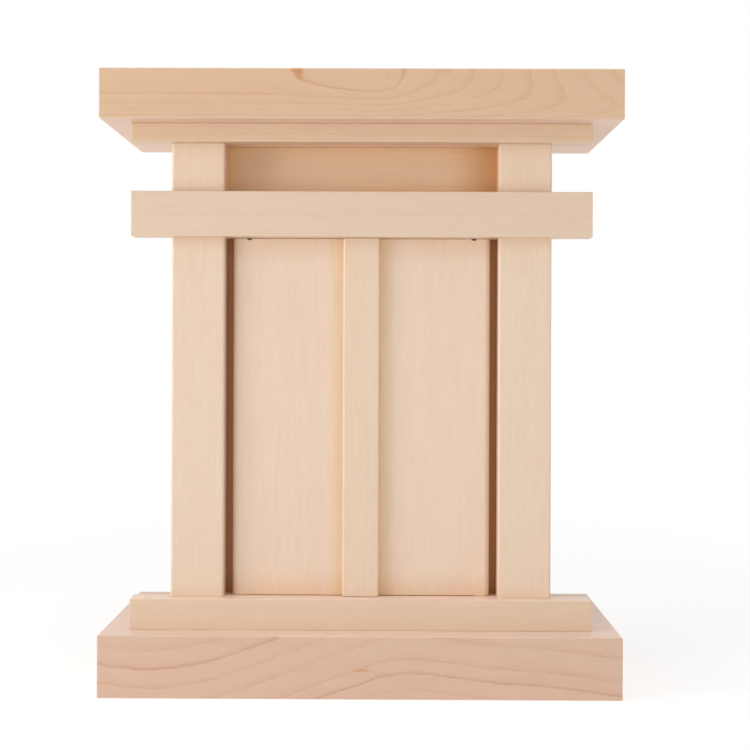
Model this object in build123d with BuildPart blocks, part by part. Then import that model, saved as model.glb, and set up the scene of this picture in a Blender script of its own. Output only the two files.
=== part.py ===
"""A small house altar of plain cypress: a cabinet with a two-leaf door behind two pillars,
under a thick flat roof board and on a thick base board. Sizes are in millimetres.
The origin is the middle of the base board's underside. +X is the viewer's right, the front
faces -Y and +Z is up."""

from build123d import *
import os

os.makedirs("parts", exist_ok=True)

# Overall size
overall_width = 250.0
overall_depth = 120.0
overall_height = 300.0

# The two thick boards
base_thickness = 30.0
roof_thickness = 24.0
board_arris = 0.6

# The three strips across the front: sill, cross beam and frieze
strip_length = 224.0
strip_depth = 12.0
strip_setback = 14.0
sill_height = 15.0
beam_height = 22.0
beam_underside = 221.0
frieze_height = 9.0
strip_arris = 0.5

# The two pillars
pillar_inner = 67.0
pillar_outer = 93.0
pillar_thickness = 14.0
pillar_setback = 6.0
pillar_edge_round = 1.0

# The box behind the pillars
side_wall_thickness = 10.0
side_wall_step = 3.0
back_board_thickness = 6.0
back_board_inset = 3.0
back_groove_depth = 3.0
rear_setback = 14.0
front_board_thickness = 6.0

# The door leaves
door_edge = 63.4
door_setback = 5.5
door_thickness = 7.0
door_edge_round = 3.0
seam_gap = 0.4
door_foot_gap = 0.3
door_head_gap = 0.15
shoulder_width = 7.0
shoulder_gap = 0.1
notch_width = 2.2
notch_height = 0.7

# The cover batten over the seam, fixed to the left leaf
batten_foot_gap = 0.2
batten_width = 17.8
batten_thickness = 4.0
batten_edge_round = 1.0
batten_relief = 0.3

# The round pins that the leaves turn on
pin_radius = 1.5
pin_clearance = 0.05
pin_in_frame = 8.0
pin_in_door = 12.0
pin_end_gap = 0.4

# The jambs and stops behind the leaves
jamb_inner = 58.0
stop_gap = 0.3
upper_stop_height = 8.0
lower_stop_height = 4.0

# Levels and planes that follow from these
half_depth = overall_depth / 2
cabinet_floor = base_thickness + sill_height
roof_underside = overall_height - roof_thickness
frieze_underside = roof_underside - frieze_height
beam_top = beam_underside + beam_height
strip_front = strip_setback - half_depth
strip_back = strip_front + strip_depth
pillar_front = strip_front + pillar_setback
pillar_back = pillar_front + pillar_thickness
cabinet_back = half_depth - rear_setback
wall_outer = pillar_outer - side_wall_step
wall_inner = wall_outer - side_wall_thickness
panel_back = pillar_back + front_board_thickness
back_board_rear = cabinet_back - back_board_inset
back_board_front = back_board_rear - back_board_thickness
door_front = pillar_front + door_setback
door_back = door_front + door_thickness
pivot_x = door_edge - door_thickness / 2
pivot_y = (door_front + door_back) / 2
pin_hole_radius = pin_radius + pin_clearance


def save(piece, name):
    """Name a finished piece and write it to a file of its own."""
    piece.part.label = name
    export_step(piece.part, "parts/" + name + ".step")


def board(x_low, x_high, y_low, y_high, z_low, z_high, arris=0.0):
    """A straight-sided board between two corners, its long arrises eased where asked."""
    with BuildPart() as piece:
        with BuildSketch(Plane.XY.offset(z_low)):
            with Locations(((x_low + x_high) / 2, (y_low + y_high) / 2)):
                Rectangle(x_high - x_low, y_high - y_low)
        extrude(amount=z_high - z_low)
        if arris:
            fillet(piece.edges(), radius=arris)
    return piece


# Base board and roof board: thick boards of the same outline
base_board = board(-overall_width / 2, overall_width / 2, -half_depth, half_depth,
                   0, base_thickness, board_arris)
save(base_board, "base_board")

roof_board = board(-overall_width / 2, overall_width / 2, -half_depth, half_depth,
                   roof_underside, overall_height, board_arris)
save(roof_board, "roof_board")

# Sill and frieze: strips along the front edge of the floor board and the ceiling board
for name, low, high in (("front_sill", base_thickness, cabinet_floor),
                        ("frieze_rail", frieze_underside, roof_underside),
                        ("cross_beam", beam_underside, beam_top)):
    strip = board(-strip_length / 2, strip_length / 2, strip_front, strip_back,
                  low, high, strip_arris)
    save(strip, name)

# Floor board, with the blind holes that the lower pins turn in
with BuildPart() as floor_board:
    with BuildSketch(Plane.XY.offset(base_thickness)):
        with Locations((0, (strip_back + cabinet_back) / 2)):
            Rectangle(2 * pillar_outer, cabinet_back - strip_back)
    extrude(amount=sill_height)
    with Locations(Plane.XY.offset(cabinet_floor)):
        with Locations((-pivot_x, pivot_y), (pivot_x, pivot_y)):
            Hole(radius=pin_hole_radius, depth=pin_in_frame + pin_end_gap)
save(floor_board, "floor_board")

# Ceiling board
ceiling_board = board(-pillar_outer, pillar_outer, strip_back, cabinet_back,
                      frieze_underside, roof_underside)
save(ceiling_board, "ceiling_board")

# Door head behind the cross beam, with the blind holes that the upper pins turn in
with BuildPart() as door_head:
    with BuildSketch(Plane.XY.offset(beam_underside)):
        with Locations((0, (strip_back + panel_back) / 2)):
            Rectangle(2 * pillar_inner, panel_back - strip_back)
    extrude(amount=beam_height)
    with BuildSketch(Plane.XY.offset(beam_underside)):
        with Locations((-pivot_x, pivot_y), (pivot_x, pivot_y)):
            Circle(pin_hole_radius)
    extrude(amount=pin_in_frame + pin_end_gap, mode=Mode.SUBTRACT)
save(door_head, "door_head")

# Pillars, housed across the front for the cross beam
for side, name in ((-1, "left_pillar"), (1, "right_pillar")):
    with BuildPart() as pillar:
        with BuildSketch(Plane.XY.offset(cabinet_floor)):
            with Locations((side * (pillar_inner + pillar_outer) / 2, (pillar_front + pillar_back) / 2)):
                Rectangle(pillar_outer - pillar_inner, pillar_thickness)
        extrude(amount=frieze_underside - cabinet_floor)
        front_edges = pillar.edges().filter_by(Axis.Z).group_by(Axis.Y)[0]
        fillet(front_edges, radius=pillar_edge_round)
        with BuildSketch(Plane.XY.offset(beam_underside)):
            with Locations((side * (pillar_inner + pillar_outer) / 2, (pillar_front + strip_back) / 2)):
                Rectangle(2 * pillar_outer, strip_back - pillar_front)
        extrude(amount=beam_height, mode=Mode.SUBTRACT)
    save(pillar, name)

# Transom panel above the cross beam, glued to the backs of the pillars
transom_panel = board(-wall_inner, wall_inner, pillar_back, panel_back,
                      beam_top, frieze_underside)
save(transom_panel, "transom_panel")

# Jambs behind the pillars, which close the slots beside the leaves
for side, name in ((-1, "left_jamb"), (1, "right_jamb")):
    jamb = board(min(side * jamb_inner, side * wall_inner), max(side * jamb_inner, side * wall_inner),
                 pillar_back, panel_back, cabinet_floor, beam_underside)
    save(jamb, name)

# Stops that the leaves close against
upper_door_stop = board(-jamb_inner, jamb_inner, door_back + stop_gap, panel_back,
                        beam_underside - upper_stop_height, beam_underside)
save(upper_door_stop, "upper_door_stop")
lower_door_stop = board(-jamb_inner, jamb_inner, door_back + stop_gap, panel_back,
                        cabinet_floor, cabinet_floor + lower_stop_height)
save(lower_door_stop, "lower_door_stop")

# Side walls, grooved for the back board
for side, name in ((-1, "left_side_wall"), (1, "right_side_wall")):
    with BuildPart() as wall:
        with BuildSketch(Plane.XY.offset(cabinet_floor)):
            with Locations((side * (wall_inner + wall_outer) / 2, (pillar_back + cabinet_back) / 2)):
                Rectangle(side_wall_thickness, cabinet_back - pillar_back)
            with Locations((side * wall_inner, (back_board_front + back_board_rear) / 2)):
                Rectangle(2 * back_groove_depth, back_board_thickness, mode=Mode.SUBTRACT)
        extrude(amount=frieze_underside - cabinet_floor)
    save(wall, name)

# Back board, held in the grooves
back_board = board(-wall_inner - back_groove_depth, wall_inner + back_groove_depth,
                   back_board_front, back_board_rear, cabinet_floor, frieze_underside)
save(back_board, "back_board")


def door_leaf(side):
    """One leaf: a flat board with a rounded hinge edge. At the foot, the shoulder round the pin
    stands lower than the rest, and at the top, a small notch sets the shoulder off."""
    edge = side * door_edge
    seam = side * seam_gap / 2
    shoulder = side * (door_edge - shoulder_width / 2)
    notch = side * (door_edge - shoulder_width - notch_width / 2)
    leaf_top = beam_underside - door_head_gap
    with BuildPart() as leaf:
        with BuildSketch(Plane.XY.offset(cabinet_floor + door_foot_gap)):
            with Locations(((edge + seam) / 2, pivot_y)):
                Rectangle(abs(edge - seam), door_thickness)
        extrude(amount=leaf_top - cabinet_floor - door_foot_gap)
        with BuildSketch(Plane.XY.offset(cabinet_floor + shoulder_gap)):
            with Locations((shoulder, pivot_y)):
                Rectangle(shoulder_width, door_thickness)
        extrude(amount=leaf_top - cabinet_floor - shoulder_gap)
        hinge_edges = leaf.edges().filter_by(Axis.Z).group_by(Axis.X)[-1 if side > 0 else 0]
        fillet(hinge_edges, radius=door_edge_round)
        with BuildSketch(Plane.XY.offset(leaf_top - notch_height)):
            with Locations((notch, pivot_y)):
                Rectangle(notch_width, door_thickness)
        extrude(amount=notch_height, mode=Mode.SUBTRACT)
        with BuildSketch(Plane.XY.offset(cabinet_floor + shoulder_gap)):
            with Locations((side * pivot_x, pivot_y)):
                Circle(pin_radius)
        extrude(amount=pin_in_door - shoulder_gap, mode=Mode.SUBTRACT)
        with BuildSketch(Plane.XY.offset(beam_underside - pin_in_door)):
            with Locations((side * pivot_x, pivot_y)):
                Circle(pin_radius)
        extrude(amount=pin_in_door - door_head_gap, mode=Mode.SUBTRACT)
    return leaf


def door_pin(side, low, high):
    """A round pin standing on the pivot line of one leaf."""
    with BuildPart() as pin:
        with BuildSketch(Plane.XY.offset(low)):
            with Locations((side * pivot_x, pivot_y)):
                Circle(pin_radius)
        extrude(amount=high - low)
    return pin


# The two leaves and their pins
for side, name in ((-1, "left_door"), (1, "right_door")):
    save(door_leaf(side), name)
    save(door_pin(side, cabinet_floor - pin_in_frame, cabinet_floor + pin_in_door), name + "_lower_pin")
    save(door_pin(side, beam_underside - pin_in_door, beam_underside + pin_in_frame), name + "_upper_pin")

# Cover batten: glued to the left leaf, eased back where it laps the right leaf
with BuildPart() as door_batten:
    with BuildSketch(Plane.XY.offset(cabinet_floor + batten_foot_gap)):
        with Locations((0, door_front - batten_thickness / 2)):
            Rectangle(batten_width, batten_thickness)
    extrude(amount=beam_underside - cabinet_floor - batten_foot_gap - door_head_gap)
    front_face = door_batten.faces().sort_by(Axis.Y)[0]
    fillet(front_face.edges(), radius=batten_edge_round)
    with BuildSketch(Plane.XY.offset(cabinet_floor)):
        with Locations((batten_width / 2, door_front)):
            Rectangle(batten_width + seam_gap, 2 * batten_relief)
    extrude(amount=beam_underside - cabinet_floor, mode=Mode.SUBTRACT)
save(door_batten, "door_batten")
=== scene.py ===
"""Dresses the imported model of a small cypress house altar: every board gets hand-eased arrises,
and solid cypress wood that is cut from its own place in the log."""

import math
from dataclasses import dataclass

import bpy
import numpy as np
from bpy.props import FloatProperty, FloatVectorProperty, IntProperty, PointerProperty
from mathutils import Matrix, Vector


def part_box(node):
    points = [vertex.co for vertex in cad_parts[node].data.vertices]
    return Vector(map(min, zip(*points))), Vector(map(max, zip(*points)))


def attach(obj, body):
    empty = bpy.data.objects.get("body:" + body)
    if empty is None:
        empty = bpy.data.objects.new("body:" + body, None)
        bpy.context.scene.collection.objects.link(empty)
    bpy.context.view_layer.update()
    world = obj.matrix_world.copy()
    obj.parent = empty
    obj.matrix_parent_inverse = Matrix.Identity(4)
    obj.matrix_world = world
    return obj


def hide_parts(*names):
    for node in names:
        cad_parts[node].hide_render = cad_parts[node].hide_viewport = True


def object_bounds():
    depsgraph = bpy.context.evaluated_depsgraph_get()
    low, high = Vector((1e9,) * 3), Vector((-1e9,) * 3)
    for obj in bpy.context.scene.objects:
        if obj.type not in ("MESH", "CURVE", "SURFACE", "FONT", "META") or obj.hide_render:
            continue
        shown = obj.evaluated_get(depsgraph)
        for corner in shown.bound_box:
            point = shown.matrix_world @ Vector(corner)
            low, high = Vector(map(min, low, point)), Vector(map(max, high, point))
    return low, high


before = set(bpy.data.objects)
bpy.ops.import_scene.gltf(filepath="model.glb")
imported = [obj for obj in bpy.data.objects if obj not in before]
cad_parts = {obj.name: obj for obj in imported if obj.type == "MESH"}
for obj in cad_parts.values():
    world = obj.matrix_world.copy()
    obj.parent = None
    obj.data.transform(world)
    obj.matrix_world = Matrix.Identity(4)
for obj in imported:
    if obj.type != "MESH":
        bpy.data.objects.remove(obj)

bl_info = {
    "name": "Cypress House Altar",
    "version": (1, 0, 0),
    "blender": (4, 5, 0),
    "location": "View3D > Sidebar > Altar",
    "description": "Eased boards, cypress wood and a soft studio for a small house altar",
    "category": "Object",
}

cad_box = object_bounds()

# The two directions across a board and the one along it, for each way that the grain can run
AXES = {"x": (1, 2, 0), "z": (0, 1, 2)}
TO_MM = 1000.0

# Lengths, in metres, of the three waves by which a hand-eased arris varies
WAVER_LENGTHS = (0.071, 0.039, 0.017)

# Cell sizes of the wood's noises, along and across the grain in millimetres
WANDER_CELLS = (170, 80)
RIPPLE_CELLS = (40, 10)
FRAY_CELLS = (6, 0.8)
GAP_CELLS = (45, 5)
FEATHER_CELLS = (9, 1.1)
BROAD_CELLS = (60, 7)
STREAK_CELLS = (14, 1.6)
FINE_CELLS = (2.8, 0.4)
PORE_CELLS = (0.7, 0.4)
MARK_CELLS = (3, 1.5)

# A fade so wide, in millimetres, that a bend of the heart line never fades
EVERYWHERE = 1e4

# How far a surface's normal leans to a direction before and when it counts as facing that way
FACING = (0.55, 0.95)

# Reach, in metres, within which a corner counts as closed and gets painted shade
SHADED_CORNER_REACH = 0.02

# Height, in metres, of the fibres that planing leaves raised
FIBRE_HEIGHT = 0.0001

# How dark a ring is, from the start of its early wood to the end of its late wood
RING_PROFILE = ((0, 0.25), (0.04, 0.0), (0.3, 0.02), (0.36, 0.1), (0.42, 0.02), (0.62, 0.05),
                (0.8, 0.32), (0.92, 1.0), (0.97, 0.75), (1, 0.35))

# Each soft box: its place and size in metres, and the setting that holds its power
LAMPS = {
    "left_lamp": ((-0.95, -0.45, 0.23), (0.4, 0.4), "left_lamp"),
    "right_lamp": ((0.55, -0.6, 0.16), (0.38, 0.34), "right_lamp"),
    "front_lamp": ((0.0, -1.2, 0.2), (0.4, 0.4), "front_lamp"),
    "upper_left_lamp": ((-0.55, -0.6, 0.7), (0.4, 0.4), "upper_lamp"),
    "upper_right_lamp": ((0.55, -0.6, 0.7), (0.4, 0.4), "upper_lamp"),
    "top_lamp": ((0.0, -0.2, 1.3), (0.6, 0.6), "top_lamp"),
    "back_left_lamp": ((-0.75, 0.85, 0.2), (0.6, 0.34), "back_lamp"),
    "back_right_lamp": ((0.75, 0.85, 0.2), (0.6, 0.34), "back_lamp"),
}

# The floor's half side, and the radii in metres between which it turns white where it is seen
FLOOR_HALF = 6.0
FLOOR_NEAR, FLOOR_FAR = 0.25, 0.8

# The floor's own light, and what is added to it where it is seen
FLOOR_LIGHT, FLOOR_LIFT = 0.48, 0.17

# The photograph's camera: its place in metres, its turn in radians and the shift of its frame
CAMERA_PLACE = (0.01113, -0.73032, 0.16798)
CAMERA_TURN = (math.pi / 2, -0.0037, 0.00638)
CAMERA_SHIFT = -0.0385


def tint(red, green, blue):
    """A colour given as 0 to 255 screen values, in the linear values that shaders take."""
    screen = np.array([red, green, blue]) / 255
    linear = np.where(screen <= 0.04045, screen / 12.92, ((screen + 0.055) / 1.055) ** 2.4)
    return tuple(float(value) for value in linear)


def colour_setting(name, description, default):
    """A colour that a user would change."""
    return FloatVectorProperty(name=name, description=description, subtype="COLOR",
                               default=default, min=0.0, max=1.0)


# Settings that a user would change

class AltarSizes(bpy.types.PropertyGroup):
    """How the edges of the boards are finished."""
    board_arris: FloatProperty(
        name="Thick board arris", description="Rounding of the base and roof boards' edges",
        default=0.0006, unit="LENGTH")
    strip_arris: FloatProperty(
        name="Strip arris", description="Rounding of the sill, beam and frieze",
        default=0.0004, unit="LENGTH")
    pillar_round: FloatProperty(
        name="Pillar edge", description="Rounding of the pillars' front edges",
        default=0.0012, unit="LENGTH")
    hinge_round: FloatProperty(
        name="Hinge edge", description="Rounding of a leaf's hinge edge",
        default=0.003, unit="LENGTH")
    batten_round: FloatProperty(
        name="Batten edge", description="Rounding of the cover batten's front edges",
        default=0.001, unit="LENGTH")
    batten_relief: FloatProperty(
        name="Batten relief", description="Gap between the batten and the right leaf",
        default=0.0003, unit="LENGTH")
    shoulder_width: FloatProperty(
        name="Hinge shoulder", description="Width of the lower strip at a leaf's hinge edge",
        default=0.007, unit="LENGTH")
    shoulder_height: FloatProperty(
        name="Shoulder height", description="How far a hinge shoulder stands below the leaf's foot",
        default=0.0002, unit="LENGTH")
    notch_width: FloatProperty(
        name="Notch width", description="Width of the notch beside the shoulder, at a leaf's top",
        default=0.0022, unit="LENGTH")
    notch_height: FloatProperty(
        name="Notch height", description="Height of the notch beside the shoulder",
        default=0.0007, unit="LENGTH")
    groove_depth: FloatProperty(
        name="Back groove", description="Depth of the side walls' groove for the back board",
        default=0.003, unit="LENGTH")
    fine_arris: FloatProperty(
        name="Fine arris", description="Rounding of the leaves and of the boards of the box",
        default=0.0002, unit="LENGTH")
    waver: FloatProperty(
        name="Arris waver", description="Share by which a hand-eased arris varies along its length",
        default=0.15, min=0.0, max=0.5)
    corner_steps: IntProperty(
        name="Corner steps", description="Faces across one rounded corner", default=5, min=2, max=12)
    station_gap: FloatProperty(
        name="Station gap", description="Distance between cross-sections along a board",
        default=0.005, unit="LENGTH")


class AltarWood(bpy.types.PropertyGroup):
    """The colours of the wood. A flat colour is for the sides of a board that face up or down, and is
    painted lighter for the light that falls on them. The last three tints are painted light.
    """
    early: colour_setting("Early wood", "Pale wood between the ring lines", tint(238, 212, 190))
    late: colour_setting("Late wood", "Ring lines", tint(196, 137, 108))
    # The flat colours are painted light: lighter than the fronts for the light on the tops, and on the
    # roof's underside
    base: colour_setting("Base", "Base board", tint(220, 185, 161))
    base_flat: colour_setting("Base, flat", "Base board's top", tint(246, 219, 203))
    roof: colour_setting("Roof", "Roof board", tint(217, 182, 149))
    roof_flat: colour_setting("Roof, flat", "Roof board's top and underside", tint(229, 199, 176))
    sill: colour_setting("Sill", "Front sill", tint(228, 201, 174))
    sill_flat: colour_setting("Sill, flat", "Front sill's top", tint(250, 225, 207))
    beam: colour_setting("Beam", "Cross beam", tint(226, 200, 176))
    frieze: colour_setting("Frieze", "Frieze rail", tint(223, 193, 162))
    pillar: colour_setting("Pillars", "Both pillars", tint(233, 208, 184))
    transom: colour_setting("Transom", "Transom panel", tint(232, 204, 177))
    leaf: colour_setting("Leaves", "Both door leaves", tint(235, 209, 186))
    batten: colour_setting("Batten", "Cover batten", tint(232, 206, 180))
    resin: colour_setting("Resin", "Small resin marks", tint(198, 132, 78))
    bamboo: colour_setting("Bamboo", "Hinge pins", tint(205, 176, 128))
    blush: colour_setting("Blush", "Tint of the pinker patches", (0.985, 0.945, 0.93))
    thread: colour_setting("Thread", "Tint of the darker fibres", (0.97, 0.92, 0.87))
    end: colour_setting("End grain", "Tint of the end grain", (0.9, 0.83, 0.76))
    # Painted shade and warm bounce light, laid on closed corners by ambient occlusion
    corner: colour_setting("Corner", "Tint of closed corners, where light goes from board to board",
                           (0.92, 0.69, 0.33))
    # Painted shade in the slots beside the leaves, laid on the jambs
    slot: colour_setting("Slot", "Tint of the jambs where they close the slots beside the leaves",
                         (0.7, 0.48, 0.31))
    # Painted shade on the transom panel's right end, where the right pillar shades it
    recess: colour_setting("Recess", "Tint of the transom panel's right end", (0.82, 0.67, 0.5))


class AltarStudio(bpy.types.PropertyGroup):
    """Lamps, floor and camera."""
    left_lamp: FloatProperty(
        name="Left lamp", description="Power of the soft box at the left side", default=4.9)
    right_lamp: FloatProperty(
        name="Right lamp", description="Power of the soft box at the front right", default=0.55)
    front_lamp: FloatProperty(
        name="Front lamp", description="Power of the weak soft box straight in front", default=0.5)
    upper_lamp: FloatProperty(
        name="Upper lamps", description="Power of each of the two high soft boxes in front",
        default=1.05)
    top_lamp: FloatProperty(
        name="Top lamp", description="Power of the soft box overhead", default=3.9)
    back_lamp: FloatProperty(
        name="Back lamps", description="Power of each of the two soft boxes behind", default=2.6)
    ambient: FloatProperty(
        name="Ambient", description="Strength of the light from the white room", default=0.24)
    floor_colour: colour_setting("Floor", "Colour of the plain floor", (0.5, 0.5, 0.5))
    lens: FloatProperty(name="Lens", description="Focal length in millimetres", default=67.775)


# Swept boards

def seeded(name):
    """Random numbers that depend only on a piece's name."""
    return np.random.default_rng([ord(letter) for letter in name])


def waver(name, places, share):
    """A slow, seeded variation about 1 along a length: the mean of three sines."""
    rng = seeded(name)
    wave = np.zeros_like(places)
    for length in WAVER_LENGTHS:
        wave += np.sin(2 * math.pi * (places / length + rng.random())) / len(WAVER_LENGTHS)
    return 1 + share * wave


def rectangle(low, high):
    """The four corners of a rectangle, anticlockwise from the low corner."""
    return [(low[0], low[1]), (high[0], low[1]), (high[0], high[1]), (low[0], high[1])]


def rounded_outline(corners, radii, inset, steps):
    """Outlines with right-angled corners, outer or inner, rounded by arcs of 90 degrees. With a
    and b as the outward normals of the two sides that meet at corner P, an arc's centre is
    P - r (a + b), its normal turns from a to b, and its points lie r less the inset from the
    centre along that normal. At an inner corner r is taken as negative. corners has one row for
    each section, radii one column for each corner, and inset one value for each section."""
    side = np.roll(corners, -1, axis=1) - corners
    side /= np.linalg.norm(side, axis=2, keepdims=True)
    after = np.stack([side[:, :, 1], -side[:, :, 0]], axis=2)
    before = np.roll(after, 1, axis=1)
    turn = np.sign(before[:, :, 0] * after[:, :, 1] - before[:, :, 1] * after[:, :, 0])
    radius = (np.maximum(radii * turn, inset[:, None]) * (turn > 0) + radii * turn * (turn < 0))
    angle = np.linspace(0, math.pi / 2, steps + 1)[None, None, :, None]
    normal = np.cos(angle) * before[:, :, None] + np.sin(angle) * after[:, :, None]
    centre = corners - radius[:, :, None] * (before + after)
    reach = (radius - inset[:, None])[:, :, None, None]
    points = centre[:, :, None] + reach * normal
    sections = len(corners)
    return points.reshape(sections, -1, 2), normal.reshape(sections, -1, 2)


def eased_run(start, stop, start_arris, stop_arris, gap, steps):
    """Places along one stretch of a board, each with its inset and the lean of its normal. An
    eased end turns in by a quarter circle of its arris, and the rest is cut at even gaps."""
    angle = np.linspace(0, math.pi / 2, steps + 1)
    first = start + start_arris
    last = stop - stop_arris
    middle = np.linspace(first, last, max(2, int(round((last - first) / gap)) + 1))
    inner = middle[1:-1] if start_arris and stop_arris else middle
    inner = middle[1:] if start_arris and not stop_arris else inner
    inner = middle[:-1] if stop_arris and not start_arris else inner
    places, insets, leans = [inner], [np.zeros_like(inner)], [np.zeros_like(inner)]
    if start_arris:
        places.insert(0, start + start_arris * (1 - np.cos(angle)))
        insets.insert(0, start_arris * (1 - np.sin(angle)))
        leans.insert(0, -np.cos(angle))
    if stop_arris:
        places.append(stop - stop_arris * (1 - np.cos(angle[::-1])))
        insets.append(stop_arris * (1 - np.sin(angle[::-1])))
        leans.append(np.cos(angle[::-1]))
    return np.concatenate(places), np.concatenate(insets), np.concatenate(leans)


def swept_board(name, axis, spans, arris):
    """The mesh of one board. Each span is (start, stop, corners, radii): one outline carried
    along the grain. Spans that follow each other meet in a square step, the first and last ends
    are eased by the arris, and every radius wavers a little along its length."""
    sizes = bpy.context.scene.altar_sizes
    steps = sizes.corner_steps
    places, insets, leans, corners, radii = [], [], [], [], []
    for count, (start, stop, outline, rounding) in enumerate(spans):
        start_arris = arris * (count == 0)
        stop_arris = arris * (count == len(spans) - 1)
        place, inset, lean = eased_run(start, stop, start_arris, stop_arris, sizes.station_gap, steps)
        waves = [waver(name + str(corner), place, sizes.waver) for corner in range(len(outline))]
        places.append(place)
        insets.append(inset)
        leans.append(lean)
        corners.append(np.tile(np.array(outline, dtype=float), (len(place), 1, 1)))
        radii.append(np.array(rounding) * np.stack(waves, axis=1))
    places, insets, leans = (np.concatenate(part) for part in (places, insets, leans))
    outlines, normals = rounded_outline(np.concatenate(corners), np.concatenate(radii), insets, steps)
    return sweep_mesh(name, axis, places, outlines, normals, leans[:, None], insets)


def sweep_mesh(name, axis, places, outlines, normals, leans, insets):
    """A closed solid from outlines carried along an axis: point (s, i) is outline point i at
    place s, neighbours make quads, and each end is one flat face. A point's normal is its
    outline normal leaned along the axis, so that broad faces stay flat up to their arrises."""
    sections, points = outlines.shape[:2]
    u, v, w = AXES[axis]
    position = np.empty((sections, points, 3))
    position[:, :, u] = outlines[:, :, 0]
    position[:, :, v] = outlines[:, :, 1]
    position[:, :, w] = places[:, None]
    level = np.sqrt(np.maximum(0, 1 - leans ** 2))
    normal = np.empty_like(position)
    normal[:, :, u] = normals[:, :, 0] * level
    normal[:, :, v] = normals[:, :, 1] * level
    normal[:, :, w] = leans
    steps = bpy.context.scene.altar_sizes.corner_steps
    # Share of the arrises' painted highlight at each point: most in the middle of each rounded corner,
    # and 0.8 on the eased ends
    bow = np.tile(np.sin(np.linspace(0, math.pi, steps + 1)), points // (steps + 1))
    arris_highlight = np.maximum(bow[None, :], (insets > 0)[:, None] * 0.8)

    here = np.arange(sections * points).reshape(sections, points)
    ahead = np.roll(here, -1, axis=1)
    quads = np.stack([here[:-1], ahead[:-1], ahead[1:], here[1:]], axis=-1).reshape(-1, 4)
    loops = np.concatenate([quads.ravel(), here[0][::-1], here[-1]])
    sizes = np.concatenate([np.full(len(quads), 4), [points, points]])
    starts = np.concatenate([[0], np.cumsum(sizes)[:-1]])

    loop_normals = normal.reshape(-1, 3)[loops]
    extent = np.ptp(outlines, axis=1).prod(axis=1)
    for s in np.nonzero(np.isclose(np.diff(places), 0))[0]:
        shelf = np.zeros(3)
        shelf[w] = 1 if extent[s] > extent[s + 1] else -1
        loop_normals[s * points * 4:(s + 1) * points * 4] = shelf
    loop_normals[-2 * points:] = 0
    loop_normals[-2 * points:-points, w] = -1
    loop_normals[-points:, w] = 1

    mesh = bpy.data.meshes.new(name + "_wood")
    mesh.vertices.add(sections * points)
    mesh.vertices.foreach_set("co", position.ravel())
    mesh.loops.add(len(loops))
    mesh.loops.foreach_set("vertex_index", loops)
    mesh.polygons.add(len(sizes))
    mesh.polygons.foreach_set("loop_start", starts)
    mesh.update(calc_edges=True)
    mesh.shade_smooth()
    mesh.normals_split_custom_set(loop_normals.tolist())
    attribute = mesh.attributes.new("arris", "FLOAT", "POINT")
    attribute.data.foreach_set("value", arris_highlight.ravel())
    return mesh


def plain_board(node, axis, arris, radii=None):
    """A board that fills its node's box, with one rounding for each long edge."""
    low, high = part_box(node)
    u, v, w = AXES[axis]
    outline = rectangle((low[u], low[v]), (high[u], high[v]))
    return swept_board(node, axis, [(low[w], high[w], outline, radii or [arris] * 4)], arris)


def add_piece(mesh, body, node, material):
    """Puts a finished mesh into the scene in place of its CAD node."""
    piece = bpy.data.objects.new(mesh.name, mesh)
    bpy.context.scene.collection.objects.link(piece)
    mesh.materials.append(material)
    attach(piece, body)
    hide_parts(node)
    return piece


def finish_node(node, material):
    """Gives a CAD node that keeps its own shape a finish."""
    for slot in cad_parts[node].material_slots:
        slot.material = material


# Wood

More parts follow.
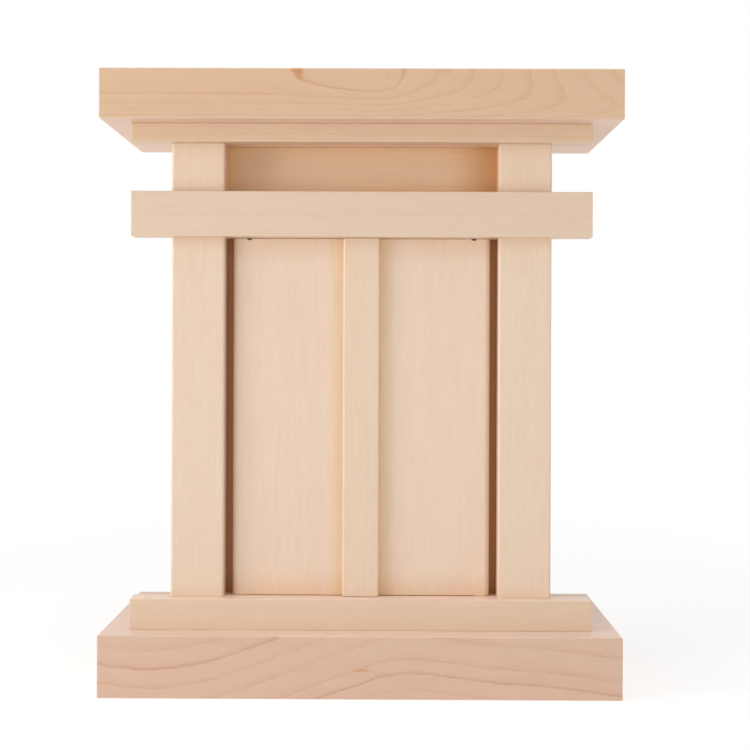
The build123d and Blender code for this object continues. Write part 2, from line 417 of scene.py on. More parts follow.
class Shading:
    """A short way to add shader nodes, which are laid out in rows in the order they are made."""

    def __init__(self, owner):
        owner.use_nodes = True
        self.tree = owner.node_tree
        self.tree.nodes.clear()

    def add(self, kind, inputs=None, **settings):
        """One node with its settings. Each input, given by its name or its place, is linked where
        it gets a socket and set where it gets a plain value."""
        count = len(self.tree.nodes)
        node = self.tree.nodes.new(kind)
        node.location = (count % 12 * 200, count // 12 * -300)
        for key, value in settings.items():
            setattr(node, key, value)
        for key, value in (inputs or {}).items():
            if isinstance(value, bpy.types.NodeSocket):
                self.tree.links.new(value, node.inputs[key])
            else:
                node.inputs[key].default_value = value
        return node

    def math(self, operation, *values, clamp=False):
        """A Math node on numbers or sockets."""
        inputs = dict(enumerate(values))
        return self.add("ShaderNodeMath", inputs, operation=operation, use_clamp=clamp).outputs[0]

    def times(self, first, second):
        """A product."""
        return self.math("MULTIPLY", first, second)

    def line(self, value, slope, level):
        """The value times a slope, plus a level."""
        return self.math("MULTIPLY_ADD", value, slope, level)

    def bell(self, value, centre, width):
        """A bell curve: exp(-((value - centre) / width) ^ 2)."""
        far = self.line(value, 1 / width, -centre / width)
        return self.math("EXPONENT", self.times(self.times(far, far), -1.0))

    def vector(self, operation, *values):
        """A Vector Math node on vectors or sockets."""
        node = self.add("ShaderNodeVectorMath", dict(enumerate(values)), operation=operation)
        return node.outputs["Value" if operation == "LENGTH" else "Vector"]

    def join(self, x, y, z):
        """A vector from three numbers or sockets."""
        return self.add("ShaderNodeCombineXYZ", {"X": x, "Y": y, "Z": z}).outputs[0]

    def split(self, vector):
        """The three numbers of a vector."""
        return self.add("ShaderNodeSeparateXYZ", {"Vector": vector}).outputs

    def mix(self, factor, first, second, blend="MIX"):
        """A mix of two colours. A Mix node has sockets for other data too: its colours are
        inputs 6 and 7, and their mix is output 2."""
        inputs = {0: factor, 6: first, 7: second}
        return self.add("ShaderNodeMix", inputs, data_type="RGBA", blend_type=blend).outputs[2]

    def tinted(self, colour, other):
        """A colour times another one."""
        return self.mix(1.0, colour, (*other, 1), "MULTIPLY")

    def darken(self, colour, level):
        """A colour times a grey level."""
        grey = self.add("ShaderNodeCombineColor", {0: level, 1: level, 2: level})
        return self.mix(1.0, colour, grey.outputs[0], "MULTIPLY")

    def smoothstep(self, value, start, stop):
        """0 before start, 1 after stop and a smooth step between them."""
        inputs = {"Value": value, "From Min": start, "From Max": stop}
        node = self.add("ShaderNodeMapRange", inputs, interpolation_type="SMOOTHSTEP")
        return node.outputs["Result"]

    def noise(self, vector, cells, detail, seed, roughness=0.5):
        """A noise whose cells have the given sizes in millimetres along and across the grain."""
        along, across = cells
        place = self.vector("MULTIPLY", vector, (1 / along, 1 / across, 1 / across))
        place = self.vector("ADD", place, (seed * 3.17, seed * 1.71, seed * 5.3))
        inputs = {"Vector": place, "Scale": 1.0, "Detail": detail, "Roughness": roughness}
        return self.add("ShaderNodeTexNoise", inputs, noise_dimensions="3D").outputs

    def ramp(self, value, stops, interpolation="LINEAR"):
        """A grey level that follows (place, level) stops."""
        node = self.add("ShaderNodeValToRGB", {"Fac": value})
        elements = node.color_ramp.elements
        node.color_ramp.interpolation = interpolation
        while len(elements) < len(stops):
            elements.new(1.0)
        for element, (place, level) in zip(elements, stops):
            element.position = place
            element.color = (level, level, level, 1)
        return node.outputs[0]

    def curve(self, value, points):
        """A smooth curve through (place, height) points between 0 and 1."""
        node = self.add("ShaderNodeFloatCurve", {"Value": value})
        line = node.mapping.curves[0]
        line.points[0].location = points[0]
        line.points[1].location = points[-1]
        for point in points[1:-1]:
            line.points.new(*point)
        for point in line.points:
            point.handle_type = "AUTO_CLAMPED"
        node.mapping.update()
        return node.outputs[0]


@dataclass
class Cut:
    """How one board is cut from its log, with lengths in millimetres."""
    axis: str  # the way that the grain runs
    heart: tuple  # place of the log's heart line, across the grain
    early: tuple  # colour between the ring lines
    flat: tuple = None  # that colour on the sides that face up or down, painted lighter for the light that falls on them
    spacing: float = 1.6  # from one ring line to the next
    start: float = 0.0  # from the heart line to the first ring
    wander: float = 1.0  # slow wandering of the heart line
    ripple: float = 0.25  # quick wandering of the heart line
    bends: tuple = ()  # bends of the heart line
    uneven: float = 0.7  # how much the rings vary in width, in rings
    pinch: tuple = None  # a lean year
    fray: float = 0.1  # how far the ring lines are frayed, in rings
    strengths: tuple = None  # strength of each ring line, from the heart outwards
    contrast: float = 0.15  # how strongly the ring lines show
    fibre: float = 0.045  # how strongly the fibres show
    blush: float = 0.4  # how pink the pinker patches are
    marks: tuple = ()  # resin marks
    warmth: float = 0.0  # how strongly closed corners get painted shade and warm bounce light
    glows: tuple = ()  # painted shade and bounce light along one axis: (axis number, far, near, tint)
    seed: float = 1.0


def cypress(name, cut):
    """Cypress as a solid texture: ring lines, fibres and soft colour changes in the log's own
    coordinates, and darker end grain where the surface faces along the grain. Painted light is laid
    over it: a painted highlight on the arrises, painted shade and warm bounce light in closed
    corners, and painted shades that each go from no change at far to their whole tint at near, in
    millimetres from the middle of the foot."""
    colours = bpy.context.scene.altar_wood
    material = bpy.data.materials.new(name)
    shading = Shading(material)
    coordinate = shading.add("ShaderNodeTexCoord")
    places = shading.split(coordinate.outputs["Object"])
    facing = shading.split(coordinate.outputs["Normal"])
    arris = shading.add("ShaderNodeAttribute", attribute_name="arris").outputs["Fac"]

    # Log coordinates in millimetres: along the grain, then the two ways across it
    u, v, w = AXES[cut.axis]
    log = shading.vector("MULTIPLY", shading.join(places[w], places[u], places[v]), (TO_MM,) * 3)
    end = shading.smoothstep(shading.math("ABSOLUTE", facing[w]), *FACING)
    level = shading.smoothstep(shading.math("ABSOLUTE", facing[2]), *FACING)

    lines = ring_lines(shading, log, cut)
    fine = shading.noise(log, FINE_CELLS, 3, cut.seed + 2, 0.7)["Fac"]
    pore = shading.noise(log, PORE_CELLS, 2, cut.seed + 3)["Fac"]
    colour = side_colour(shading, log, cut, level, end, lines, fine, pore)
    ended = shading.darken(shading.tinted(colour, colours.end), shading.line(pore, 0.24, 0.86))
    colour = shading.mix(end, colour, ended)
    for mark in cut.marks:
        colour = resin_mark(shading, colour, log, mark)
    # Painted highlight: the arrises turn paler, towards the early wood colour
    colour = shading.mix(shading.times(arris, 0.25), colour, (*colours.early, 1))
    # Painted shade and warm bounce light: closed corners, found by ambient occlusion, take the corner
    # tint
    if cut.warmth:
        corner = shading.add("ShaderNodeAmbientOcclusion", {"Distance": SHADED_CORNER_REACH}, samples=6)
        closed = shading.times(shading.math("SUBTRACT", 1.0, corner.outputs["AO"]), cut.warmth)
        colour = shading.mix(closed, colour, shading.tinted(colour, colours.corner))
    # Painted shade and bounce light along one axis, each going from far to near
    for axis_number, far, near, glow in cut.glows:
        aside = shading.times(places[axis_number], TO_MM)
        colour = shading.mix(shading.smoothstep(aside, far, near), colour, shading.tinted(colour, glow))

    rough = shading.line(fine, 0.12, 0.36)
    rough = shading.line(end, 0.16, rough)
    rough = shading.line(arris, -0.05, rough)
    height = shading.line(pore, 0.4, shading.line(lines, 0.15, fine))
    planed_surface(shading, colour, rough, height)
    return material


def side_colour(shading, log, cut, level, end, lines, fine, pore):
    """The colour along the grain: pale early wood with pinker patches, the ring lines, which
    show more on end grain, and the light and dark of fibres, streaks and pores."""
    colours = bpy.context.scene.altar_wood
    pale = (*cut.early, 1)
    # Painted light: the sides that face up or down take the lighter flat colour
    if cut.flat:
        pale = shading.mix(level, pale, (*cut.flat, 1))
    broad = shading.noise(log, BROAD_CELLS, 4, cut.seed + 6, 0.7)["Fac"]
    pinkness = shading.times(shading.smoothstep(broad, 0.35, 0.7), cut.blush)
    colour = shading.mix(pinkness, pale, shading.tinted(pale, colours.blush))
    contrast = shading.line(end, 1.2 * cut.contrast + 0.1, cut.contrast)
    amount = shading.math("MULTIPLY", lines, contrast, clamp=True)
    colour = shading.mix(amount, colour, (*colours.late, 1))

    fibre = cut.fibre
    streak = shading.noise(log, STREAK_CELLS, 3, cut.seed + 8, 0.6)["Fac"]
    shade = shading.line(fine, 4 * fibre, 1 - 2 * fibre)
    shade = shading.times(shade, shading.line(streak, 2 * fibre, 1 - fibre))
    shade = shading.times(shade, shading.line(pore, fibre, 1 - fibre / 2))
    colour = shading.darken(colour, shade)
    threads = shading.times(shading.smoothstep(fine, 0.45, 0.7), 6 * fibre)
    return shading.mix(threads, colour, shading.tinted(colour, colours.thread))


def planed_surface(shading, colour, rough, height):
    """The smooth, dull surface of planed wood, with its fibres just raised."""
    bump = shading.add("ShaderNodeBump", {"Strength": 0.3, "Distance": FIBRE_HEIGHT, "Height": height})
    shader = shading.add("ShaderNodeBsdfPrincipled", {
        "Base Color": colour, "Roughness": rough, "IOR": 1.5, "Normal": bump.outputs[0]})
    shading.add("ShaderNodeOutputMaterial", {"Surface": shader.outputs[0]})


def ring_lines(shading, log, cut):
    """How dark the ring lines are, from 0 to 1. Each ring goes from pale early wood to a thin
    line of late wood that ends sharply. Every line has a strength of its own, and the weaker it
    is, the more of it is missing in patches and feathers."""
    number = ring_number(shading, log, cut)
    late = shading.ramp(shading.math("FRACT", number), RING_PROFILE, "EASE")
    strength = ring_strength(shading, shading.math("FLOOR", number), cut)
    gaps = shading.noise(log, GAP_CELLS, 2, cut.seed + 9)["Fac"]
    feathers = shading.noise(log, FEATHER_CELLS, 2, cut.seed + 7)["Fac"]
    missing = shading.math("ADD", shading.times(shading.smoothstep(gaps, 0.62, 0.28), 0.6),
                           shading.times(shading.smoothstep(feathers, 0.62, 0.36), 0.5))
    weakness = shading.line(strength, -1.1, 1.3)
    kept = shading.math("SUBTRACT", 1.0, shading.times(missing, weakness), clamp=True)
    return shading.times(shading.times(late, strength), kept)


def ring_number(shading, log, cut):
    """The count of rings from the heart outwards. With r the distance from the heart line it is
    (r - start) / spacing, then varied by a slow noise, pinched in a lean year and frayed."""
    number = shading.line(heart_distance(shading, log, cut), 1 / cut.spacing, -cut.start / cut.spacing)
    inputs = {"W": number, "Scale": 0.43, "Detail": 1.0}
    width = shading.add("ShaderNodeTexNoise", inputs, noise_dimensions="1D")
    centred = shading.math("SUBTRACT", width.outputs["Fac"], 0.5)
    number = shading.line(centred, cut.uneven, number)
    if cut.pinch:
        number = pinched_ring(shading, number, cut.pinch)
    frayed = shading.noise(log, FRAY_CELLS, 3, cut.seed + 5, 0.65)["Fac"]
    return shading.line(shading.math("SUBTRACT", frayed, 0.5), 2 * cut.fray, number)


def heart_distance(shading, log, cut):
    """The distance from the heart line of the log, which runs along the grain, wanders slowly
    and quickly by noises, and follows its bends."""
    slow = shading.noise(log, WANDER_CELLS, 1, cut.seed)["Color"]
    quick = shading.noise(log, RIPPLE_CELLS, 2, cut.seed + 4)["Color"]
    across = shading.vector("SUBTRACT", log, (0, *cut.heart))
    for wobble, size in ((slow, cut.wander), (quick, cut.ripple)):
        centred = shading.vector("SUBTRACT", wobble, (0.5, 0.5, 0.5))
        moved = shading.vector("MULTIPLY", centred, (0, 4 * size, 4 * size))
        across = shading.vector("ADD", across, moved)
    for bend in cut.bends:
        across = bent_heart(shading, across, log, bend)
    return shading.vector("LENGTH", shading.vector("MULTIPLY", across, (0, 1, 1)))


def ring_strength(shading, ring, cut):
    """The strength of a ring's line: from the list where the cut has one, else at random."""
    if cut.strengths:
        count = len(cut.strengths)
        share = shading.line(ring, 1 / count, 0.5 / count)
        steps = [(number / count, level) for number, level in enumerate(cut.strengths)]
        return shading.ramp(share, steps, "CONSTANT")
    inputs = {"W": shading.math("ADD", ring, cut.seed * 13.7)}
    chance = shading.add("ShaderNodeTexWhiteNoise", inputs, noise_dimensions="1D")
    return shading.line(chance.outputs["Value"], 0.75, 0.25)


def bent_heart(shading, across, log, bend):
    """Bends the heart line by a smooth curve along the grain, which draws the arches of a
    flat-sawn face. bend holds the way that it bends, the given points of the curve as
    (millimetres along the grain, millimetres of bend), and the distance across the second way
    over which the bend fades as a bell curve."""
    way, points, fade = bend
    first, last = points[0][0], points[-1][0]
    length = last - first
    most = max(height for place, height in points)
    along = shading.split(log)[0]
    share = shading.math("MULTIPLY_ADD", along, 1 / length, -first / length, clamp=True)
    curve = shading.curve(share, [((place - first) / length, height / most) for place, height in points])
    size = shading.times(shading.times(curve, most), shading.bell(shading.split(across)[2], 0.0, fade))
    shift = shading.join(0.0, shading.times(size, way[0]), shading.times(size, way[1]))
    return shading.vector("ADD", across, shift)


def pinched_ring(shading, number, pinch):
    """Narrows one ring and widens those inside it, as a lean year does: takes a bell curve of
    the given centre, width and height, all in rings, from the ring number."""
    centre, width, height = pinch
    return shading.line(shading.bell(number, centre, width), -height, number)


def resin_mark(shading, colour, log, mark):
    """A small brown resin mark: a soft-edged ellipsoid, given by its centre, its half sizes, how
    far it leans along the grain for each millimetre down, and its strength, with a frayed edge."""
    centre, size, lean, strength = mark
    away = shading.vector("SUBTRACT", log, centre)
    down = shading.times(shading.split(away)[2], lean)
    away = shading.vector("DIVIDE", shading.vector("ADD", away, shading.join(down, 0.0, 0.0)), size)
    fray = shading.noise(log, MARK_CELLS, 2, 5.0)["Fac"]
    far = shading.line(fray, 0.7, shading.vector("LENGTH", away))
    factor = shading.times(shading.smoothstep(far, 1.55, 0.95), strength)
    return shading.mix(factor, colour, (*bpy.context.scene.altar_wood.resin, 1))


# Operators

class ALTAR_OT_thick_boards(bpy.types.Operator):
    """Makes the base board and the roof board, flat-sawn boards with a drawn figure"""
    bl_idname = "altar.thick_boards"
    bl_label = "Thick Boards"

    def execute(self, context):
        arris = context.scene.altar_sizes.board_arris
        wood = context.scene.altar_wood
        for node, material in (("base_board", base_wood(wood)), ("roof_board", roof_wood(wood))):
            add_piece(plain_board(node, "x", arris), "cabinet", node, material)
        return {"FINISHED"}


def base_wood(wood):
    """The base board is cut far from the heart, nearly along the rings, so its front shows a few
    wide lines: a dip at the left, a rise past the middle and a slow fall to the right."""
    low, high = (corner * TO_MM for corner in map(np.array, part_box("base_board")))
    far, lean = 3000.0, 0.2
    heart = (low[1] - far * math.sqrt(1 - lean ** 2), high[2] + far * lean)
    rise = ((-125, 2.6), (-113, 0.8), (-100, 0), (-85, 1.5), (-75, 3.2), (-57, 8.7), (-40, 15),
            (-24, 21), (-12, 25.5), (0, 29), (12, 33.3), (25, 34.6), (41, 33.2), (64, 30.3),
            (86, 29), (110, 26), (125, 24))
    blot = ((1.5, low[1], high[2] - 16), (4.5, 4, 0.9), 0.0, 0.36)
    strengths = (0.4, 0.8, 0.45, 0.45, 0.5, 0.85, 0.2, 0.4, 0.6, 0.35, 0.5, 0.3, 0.6, 0.45, 0.3)
    return cypress("base_wood", Cut(
        "x", heart, wood.base, wood.base_flat, spacing=1.85, start=far - 0.36, wander=0.05,
        ripple=0.04, bends=[((0, -1), rise, EVERYWHERE)], uneven=0.0, pinch=(5.2, 0.8, 0.3),
        fray=0.16, strengths=strengths, contrast=0.78, blush=0.7, marks=[blot], seed=2.0))


def roof_wood(wood):
    """The roof board is cut just outside the heart, which comes nearest to the front face right
    of the middle: the first ring shows there as a lens at the top edge, the next ones bow round
    it and run on to the left, and a resin mark stands at the lens's left end."""
    low, high = (corner * TO_MM for corner in map(np.array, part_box("roof_board")))
    heart = (low[1] - 19.7, high[2])
    away = ((-125, 3.3), (-38, 3.3), (-28, 2.6), (-19, 1.9), (-9, 1.1), (0, 0.3), (6, 0.1),
            (10, 0.6), (17, 1.5), (21, 2.3), (31, 1.5), (37, 1.3), (46, 0.3), (125, 0.3))
    lean = ((-125, 0), (12, 0), (17, 0.3), (21, 0.7), (31, 2.6), (37, 3.6), (46, 5.2), (51, 6.1),
            (60, 7.4), (73, 9.1), (95, 12.5), (125, 16.5))
    mark = ((-31.2, low[1], high[2]), (3.1, 7, 5.6), 0.4, 0.75)
    dot = ((12.0, low[1], high[2] - 4.8), (0.6, 2, 0.5), 0.0, 0.5)
    strengths = (0.0, 0.85, 0.6, 0.55, 0.4, 0.6, 0.5, 0.35, 0.6, 0.4, 0.7, 0.5, 0.3, 0.6, 0.45, 0.3)
    return cypress("roof_wood", Cut(
        "x", heart, wood.roof, wood.roof_flat, spacing=1.87, start=19.08, wander=0.05, ripple=0.04,
        bends=[((1, 0), away, 14), ((1, 0), lean, 24)], uneven=0.0, fray=0.14, strengths=strengths,
        contrast=0.7, blush=0.6, marks=[mark, dot], seed=5.0))


class ALTAR_OT_front_strips(bpy.types.Operator):
    """Makes the sill, the cross beam and the frieze"""
    bl_idname = "altar.front_strips"
    bl_label = "Front Strips"

    def execute(self, context):
        arris = context.scene.altar_sizes.strip_arris
        wood = context.scene.altar_wood
        woods = {
            "front_sill": cypress("sill_wood", Cut(
                "x", (90, 20), wood.sill, wood.sill_flat, contrast=0.12, seed=3.0)),
            "cross_beam": cypress("beam_wood", Cut(
                "x", (-635, 345), wood.beam, spacing=1.5, wander=0.15, ripple=0.06, contrast=0.1,
                seed=7.0)),
            "frieze_rail": cypress("frieze_wood", Cut(
                "x", (10, 150), wood.frieze, spacing=1.9, contrast=0.22, seed=9.0)),
        }
        for node, material in woods.items():
            add_piece(plain_board(node, "x", arris), "cabinet", node, material)
        return {"FINISHED"}


class ALTAR_OT_pillars(bpy.types.Operator):
    """Makes the two pillars, housed across the front for the cross beam"""
    bl_idname = "altar.pillars"
    bl_label = "Pillars"

    def execute(self, context):
        sizes = context.scene.altar_sizes
        beam_low, beam_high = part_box("cross_beam")
        radii = [sizes.pillar_round, sizes.pillar_round, sizes.fine_arris, sizes.fine_arris]
        for node, heart, seed in (("left_pillar", (-190, -10), 11.0),
                                  ("right_pillar", (205, -25), 12.0)):
            low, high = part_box(node)
            full = rectangle(low[:2], high[:2])
            housed = rectangle((low[0], beam_high[1]), high[:2])
            spans = [(low[2], beam_low[2], full, radii),
                     (beam_low[2], beam_high[2], housed, [sizes.fine_arris] * 4),
                     (beam_high[2], high[2], full, radii)]
            # The pillars' closed corners get a little painted shade and warm bounce light
            cut = Cut("z", heart, context.scene.altar_wood.pillar, spacing=1.7, contrast=0.06,
                      fibre=0.065, warmth=0.3, seed=seed)
            board = swept_board(node, "z", spans, sizes.fine_arris)
            add_piece(board, "cabinet", node, cypress(node + "_wood", cut))
        return {"FINISHED"}


class ALTAR_OT_cabinet(bpy.types.Operator):
    """Makes the boards of the box behind the pillars"""
    bl_idname = "altar.cabinet"
    bl_label = "Cabinet"

    def execute(self, context):
        sizes = context.scene.altar_sizes
        wood = context.scene.altar_wood
        boards = {"transom_panel": "x", "door_head": "x", "left_jamb": "z", "right_jamb": "z",
                  "upper_door_stop": "x", "lower_door_stop": "x", "floor_board": "x",
                  "ceiling_board": "x", "back_board": "z", "left_side_wall": "z",
                  "right_side_wall": "z"}
        # Painted shade on the transom panel's right end and on the jambs where they close the slots
        glows = {"transom_panel": [(0, 38, 68, wood.recess)], "left_jamb": [(0, -61, -64.5, wood.slot)],
                 "right_jamb": [(0, 61, 64.5, wood.slot)]}
        for count, (node, axis) in enumerate(boards.items()):
            early = wood.transom if node == "transom_panel" else wood.early
            # Painted shade and warm bounce light in closed corners: strong on the transom panel and
            # jambs, weak on the other boards
            warmth = 1.0 if node in glows else 0.3
            cut = Cut(axis, box_heart(node, axis, count), early, spacing=1.7, contrast=0.2,
                      warmth=warmth, glows=glows.get(node, ()), seed=20.0 + count)
            material = cypress(node + "_wood", cut)
            if node in ("floor_board", "door_head"):
                finish_node(node, material)
            elif node.endswith("side_wall"):
                add_piece(side_wall(node), "cabinet", node, material)
            else:
                board = plain_board(node, axis, sizes.fine_arris)
                add_piece(board, "cabinet", node, material)
        return {"FINISHED"}


def box_heart(node, axis, count):
    """Where the heart line lies for a board of the box: a board that lies flat is cut above and
    behind it, and an upright one behind it, to its left and its right in turn."""
    low, high = (corner * TO_MM for corner in map(np.array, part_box(node)))
    u, v = AXES[axis][:2]
    aside = (-25, -150) if axis == "x" else ((-1) ** count * 60, -110)
    return ((low[u] + high[u]) / 2 + aside[0], (low[v] + high[v]) / 2 + aside[1])


def side_wall(node):
    """A side wall with the groove that holds the back board."""
    sizes = bpy.context.scene.altar_sizes
    low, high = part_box(node)
    back_low, back_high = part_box("back_board")
    fine = sizes.fine_arris
    depths = [low[1], back_low[1], back_high[1], high[1]]
    if low[0] < 0:
        outer, inner, groove = low[0], high[0], high[0] - sizes.groove_depth
    else:
        outer, inner, groove = high[0], low[0], low[0] + sizes.groove_depth
        depths.reverse()
    first, near, far, last = depths
    outline = [(outer, first), (inner, first), (inner, near), (groove, near),
               (groove, far), (inner, far), (inner, last), (outer, last)]
    radii = [fine, fine, fine, fine / 4, fine / 4, fine, fine, fine]
    return swept_board(node, "z", [(low[2], high[2], outline, radii)], fine)


class ALTAR_OT_doors(bpy.types.Operator):
    """Makes the two leaves and the batten over their seam"""
    bl_idname = "altar.doors"
    bl_label = "Doors"

    def execute(self, context):
        wood = context.scene.altar_wood
        for side, way, heart, seed in (("left", -1, (-230, -60), 31.0), ("right", 1, (250, -20), 32.0)):
            node = side + "_door"
            # Painted light on each leaf: warm bounce light beside the batten, painted shade under the
            # beam at the top and painted shade at the foot
            painted_batten_bounce = (0, way * 18, way * 10, (1, 0.95, 0.8))
            painted_shade_under_beam = (2, 212, 221, (0.99, 0.97, 0.93))
            painted_shade_at_foot = (2, 58, 45, (0.96, 0.9, 0.8))
            cut = Cut("z", heart, wood.leaf, spacing=1.8, contrast=0.05, fibre=0.05, blush=0.8,
                      glows=[painted_batten_bounce, painted_shade_under_beam, painted_shade_at_foot], seed=seed)
            add_piece(door_leaf(node), side + "_leaf", node, cypress(node + "_wood", cut))
        cut = Cut("z", (60, -160), wood.batten, spacing=1.8, contrast=0.05, seed=33.0)
        add_piece(cover_batten(), "left_leaf", "door_batten", cypress("batten_wood", cut))
        return {"FINISHED"}


def door_leaf(node):
    """One leaf, as upright rectangles carried from its hinge edge to the seam. Within the
    rounding R of the hinge edge, at R (1 - cos a) from the edge, it is thinner by R (1 - sin a)
    on each side. Its foot is lower along the hinge shoulder, and at the top a notch sets the
    shoulder off."""
    sizes = bpy.context.scene.altar_sizes
    low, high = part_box(node)
    fine, hinge = sizes.fine_arris, sizes.hinge_round
    notch_end = sizes.shoulder_width + sizes.notch_width
    angle = np.linspace(0, math.pi / 2, 2 * sizes.corner_steps)
    shoulder = np.linspace(hinge, sizes.shoulder_width, 3)[1:]
    rest, insets, leans = eased_run(notch_end, high[0] - low[0], 0, fine, sizes.station_gap,
                                    sizes.corner_steps)
    away = np.concatenate([hinge * (1 - np.cos(angle)), shoulder, [sizes.shoulder_width, notch_end],
                           rest])
    before = len(away) - len(rest)
    insets = np.concatenate([np.zeros(before), insets])
    leans = np.concatenate([np.zeros(before), leans])[:, None]
    thinner = np.zeros(len(away))
    thinner[:len(angle)] = hinge * (1 - np.sin(angle))
    foot = np.full(len(away), low[2] + sizes.shoulder_height)
    foot[:before - 2] = low[2]
    top = np.full(len(away), high[2])
    top[before - 2:before] -= sizes.notch_height

    corners = np.array([[low[1] + thinner, foot], [high[1] - thinner, foot],
                        [high[1] - thinner, top], [low[1] + thinner, top]]).transpose(2, 0, 1)
    radii = np.stack([fine * waver(node + str(corner), away, sizes.waver) for corner in range(4)],
                     axis=1)
    outlines, normals = rounded_outline(corners, radii, insets, sizes.corner_steps)
    turned = np.zeros(len(away))
    turned[:len(angle)] = -np.cos(angle)
    leans = leans + turned[:, None] * np.abs(normals[:, :, 0])
    if low[0] < 0:
        return sweep_mesh(node, "x", low[0] + away, outlines, normals, leans, insets)
    return sweep_mesh(node, "x", high[0] - away[::-1], outlines[::-1], normals[::-1], -leans[::-1],
                      insets[::-1])


def cover_batten():
    """The batten over the seam, eased back where it laps the right leaf."""
    sizes = bpy.context.scene.altar_sizes
    low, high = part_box("door_batten")
    middle = (low[0] + high[0]) / 2
    lap = high[1] - sizes.batten_relief
    outline = [(low[0], low[1]), (high[0], low[1]), (high[0], lap), (middle, lap), (middle, high[1]),
               (low[0], high[1])]
    tiny = sizes.batten_relief / 3
    radii = [sizes.batten_round, sizes.batten_round, sizes.fine_arris, tiny, tiny, tiny]
    return swept_board("door_batten", "z", [(low[2], high[2], outline, radii)], sizes.fine_arris)


class ALTAR_OT_pins(bpy.types.Operator):
    """Gives the hinge pins their bamboo"""
    bl_idname = "altar.pins"
    bl_label = "Hinge Pins"

    def execute(self, context):
        cut = Cut("z", (0, 0), context.scene.altar_wood.bamboo, spacing=0.6, contrast=0.3, seed=41.0)
        bamboo = cypress("pin_bamboo", cut)
        pins = [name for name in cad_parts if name.endswith("_pin")]
        if not pins:
            raise RuntimeError("The frame has no hinge pins")
        for name in pins:
            finish_node(name, bamboo)
        return {"FINISHED"}


class ALTAR_OT_stage(bpy.types.Operator):
    """Makes the floor, the white room, the lamps and the camera"""
    bl_idname = "altar.stage"
    bl_label = "Stage"

    def execute(self, context):
        studio = context.scene.altar_studio
        make_floor(studio)
        make_room(studio)
        aim = (Vector(cad_box[0]) + Vector(cad_box[1])) / 2
        for name, (place, size, power) in LAMPS.items():
            make_lamp(name, place, aim, size, getattr(studio, power))
        make_camera(studio)
        context.scene.view_settings.view_transform = "Standard"
        return {"FINISHED"}


def seen_rays(shading):
    """1 for the rays that show the background: straight from the camera, mirrored or passed."""
    light = shading.add("ShaderNodeLightPath")
    seen = shading.math("MAXIMUM", light.outputs["Is Camera Ray"], light.outputs["Is Glossy Ray"])
    return shading.math("MAXIMUM", seen, light.outputs["Is Transmission Ray"])


def make_floor(studio):
    """A plain pale floor. Near the object it keeps its soft shadow, and further off it passes
    into the white of the room where it is seen."""
    half = FLOOR_HALF
    mesh = bpy.data.meshes.new("floor")
    mesh.from_pydata([(-half, -half, 0), (half, -half, 0), (half, half, 0), (-half, half, 0)], [],
                     [(0, 1, 2, 3)])
    floor = bpy.data.objects.new("floor", mesh)
    bpy.context.scene.collection.objects.link(floor)
    material = bpy.data.materials.new("pale_floor")
    shading = Shading(material)
    place = shading.add("ShaderNodeTexCoord").outputs["Object"]
    grain = shading.add("ShaderNodeTexNoise", {"Vector": place, "Scale": 140.0, "Detail": 3.0})
    level = shading.line(grain.outputs["Fac"], 0.02, 0.99)
    colour = shading.darken((*studio.floor_colour, 1), level)
    diffuse = shading.add("ShaderNodeBsdfDiffuse", {"Color": colour})
    seen = seen_rays(shading)
    strength = shading.line(seen, FLOOR_LIFT, FLOOR_LIGHT)
    glow = shading.add("ShaderNodeEmission", {"Strength": strength})
    near = shading.add("ShaderNodeAddShader", {0: diffuse.outputs[0], 1: glow.outputs[0]})
    white = shading.add("ShaderNodeEmission")
    away = shading.smoothstep(shading.vector("LENGTH", place), FLOOR_NEAR, FLOOR_FAR)
    share = shading.times(seen, away)
    both = shading.add("ShaderNodeMixShader", {0: share, 1: near.outputs[0], 2: white.outputs[0]})
    shading.add("ShaderNodeOutputMaterial", {"Surface": both.outputs[0]})
    mesh.materials.append(material)


def make_room(studio):
    """A white room: plain white where it is seen, and a soft ambient light on the object."""
    world = bpy.data.worlds.new("white_room")
    bpy.context.scene.world = world
    shading = Shading(world)
    seen = seen_rays(shading)
    strength = shading.line(seen, 1 - studio.ambient, studio.ambient)
    background = shading.add("ShaderNodeBackground", {"Color": (1, 1, 1, 1), "Strength": strength})
    shading.add("ShaderNodeOutputWorld", {"Surface": background.outputs[0]})


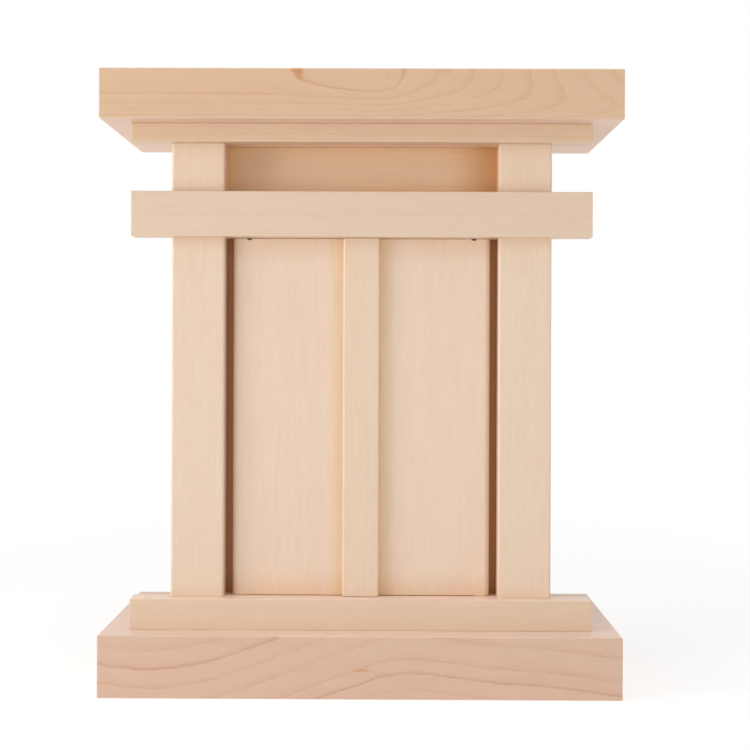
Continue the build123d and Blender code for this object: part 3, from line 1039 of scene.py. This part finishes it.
def make_lamp(name, place, aim, size, power):
    """One soft box, turned to the object."""
    data = bpy.data.lights.new(name, "AREA")
    data.shape = "RECTANGLE"
    data.size, data.size_y = size
    data.energy = power
    lamp = bpy.data.objects.new(name, data)
    lamp.location = place
    lamp.rotation_euler = (Vector(aim) - Vector(place)).to_track_quat("-Z", "Y").to_euler()
    bpy.context.scene.collection.objects.link(lamp)


def make_camera(studio):
    """The camera, at the photograph's place: level, a little right of the middle, with a small
    turn and roll, and with the frame shifted down a little."""
    data = bpy.data.cameras.new("camera")
    data.sensor_width = 36.0
    data.lens = studio.lens
    data.shift_y = CAMERA_SHIFT
    camera = bpy.data.objects.new("camera", data)
    camera.location = CAMERA_PLACE
    camera.rotation_euler = CAMERA_TURN
    bpy.context.scene.collection.objects.link(camera)
    bpy.context.scene.camera = camera


class ALTAR_PT_panel(bpy.types.Panel):
    """The altar's operators and settings"""
    bl_idname = "ALTAR_PT_panel"
    bl_label = "House Altar"
    bl_space_type = "VIEW_3D"
    bl_region_type = "UI"
    bl_category = "Altar"

    def draw(self, context):
        for operator in OPERATORS:
            self.layout.operator(operator.bl_idname)
        for group in (context.scene.altar_sizes, context.scene.altar_wood, context.scene.altar_studio):
            box = self.layout.box()
            for key in group.__annotations__:
                box.prop(group, key)


OPERATORS = (ALTAR_OT_stage, ALTAR_OT_thick_boards, ALTAR_OT_front_strips, ALTAR_OT_pillars,
             ALTAR_OT_cabinet, ALTAR_OT_doors, ALTAR_OT_pins)
CLASSES = (AltarSizes, AltarWood, AltarStudio) + OPERATORS + (ALTAR_PT_panel,)


def register():
    for cls in CLASSES:
        bpy.utils.register_class(cls)
    bpy.types.Scene.altar_sizes = PointerProperty(type=AltarSizes)
    bpy.types.Scene.altar_wood = PointerProperty(type=AltarWood)
    bpy.types.Scene.altar_studio = PointerProperty(type=AltarStudio)


def unregister():
    del bpy.types.Scene.altar_studio
    del bpy.types.Scene.altar_wood
    del bpy.types.Scene.altar_sizes
    for cls in reversed(CLASSES):
        bpy.utils.unregister_class(cls)


def main():
    register()
    bpy.ops.altar.stage()
    bpy.ops.altar.thick_boards()
    bpy.ops.altar.front_strips()
    bpy.ops.altar.pillars()
    bpy.ops.altar.cabinet()
    bpy.ops.altar.doors()
    bpy.ops.altar.pins()


if __name__ == "__main__":
    main()
